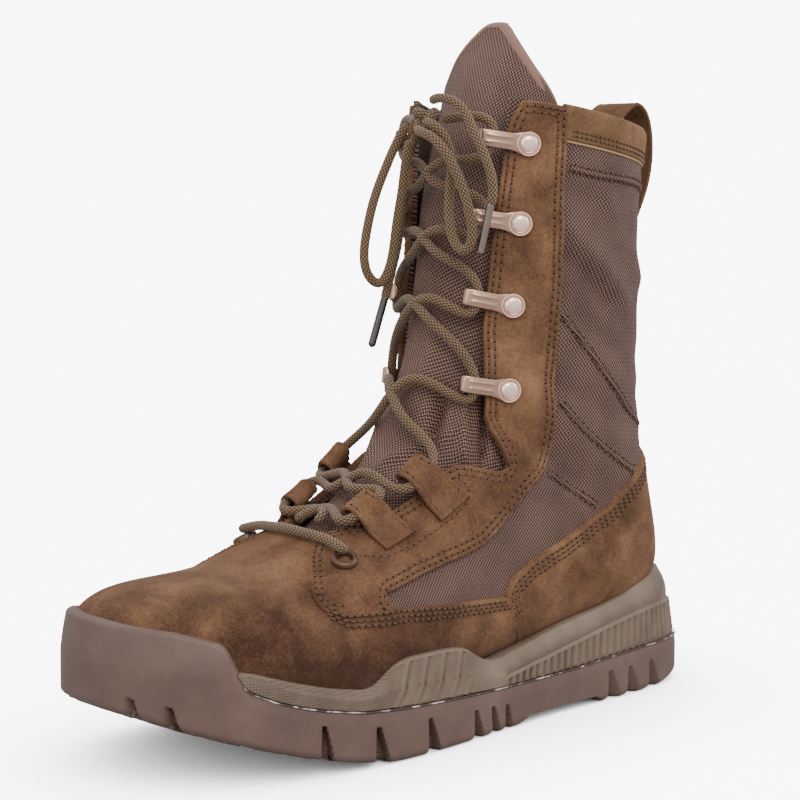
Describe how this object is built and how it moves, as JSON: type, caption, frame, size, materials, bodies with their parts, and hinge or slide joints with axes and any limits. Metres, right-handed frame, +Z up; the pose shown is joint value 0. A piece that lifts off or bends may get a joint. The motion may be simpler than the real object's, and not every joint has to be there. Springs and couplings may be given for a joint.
{
  "type": "desert boot",
  "caption": "Left desert boot, tall lace-up upper of suede panels over woven nylon, speed hooks, gusseted tongue and a lugged rubber sole.",
  "frame": {"origin": "on the floor, under the middle of the boot's bounding box in plan", "axes": "toe towards -Y, heel towards +Y, the outer (lateral) side of this left boot towards +X, +Z up"},
  "size_m": [0.109, 0.2936, 0.2782],
  "materials": {
    "suede": "matte brushed brown suede",
    "nylon": "coarse woven nylon",
    "binding": "smooth folded edge tape",
    "rubber": "matte moulded rubber",
    "midsole_foam": "matte moulded foam",
    "footbed": "dark textile footbed",
    "lace_cord": "round braided cord",
    "hook_metal": "champagne coloured satin metal",
    "aglet": "smooth dark plastic"
  },
  "bodies": {
    "root": {"aglet_left": "aglet", "aglet_right": "aglet", "collar_cuff": "suede", "eyelet_lateral": "hook_metal", "eyelet_medial": "hook_metal", "eyestay_lateral": "suede", "eyestay_medial": "suede", "heel_counter": "suede", "hook_lateral_1": "hook_metal", "hook_lateral_2": "hook_metal", "hook_lateral_3": "hook_metal", "hook_lateral_4": "hook_metal", "hook_medial_1": "hook_metal", "hook_medial_2": "hook_metal", "hook_medial_3": "hook_metal", "hook_medial_4": "hook_metal", "insole": "footbed", "lace_bar": "lace_cord", "lace_crossings": "lace_cord", "lace_end_left": "lace_cord", "lace_end_right": "lace_cord", "lace_knot": "lace_cord", "lace_loop_left": "lace_cord", "lace_loop_right": "lace_cord", "lace_tab_lateral_1": "suede", "lace_tab_lateral_2": "suede", "lace_tab_medial_1": "suede", "lace_tab_medial_2": "suede", "midsole": "midsole_foam", "outsole": "rubber", "pull_loop": "suede", "tongue": "nylon", "tongue_binding": "binding", "upper": "nylon", "vamp": "suede"}
  },
  "joints": []
}
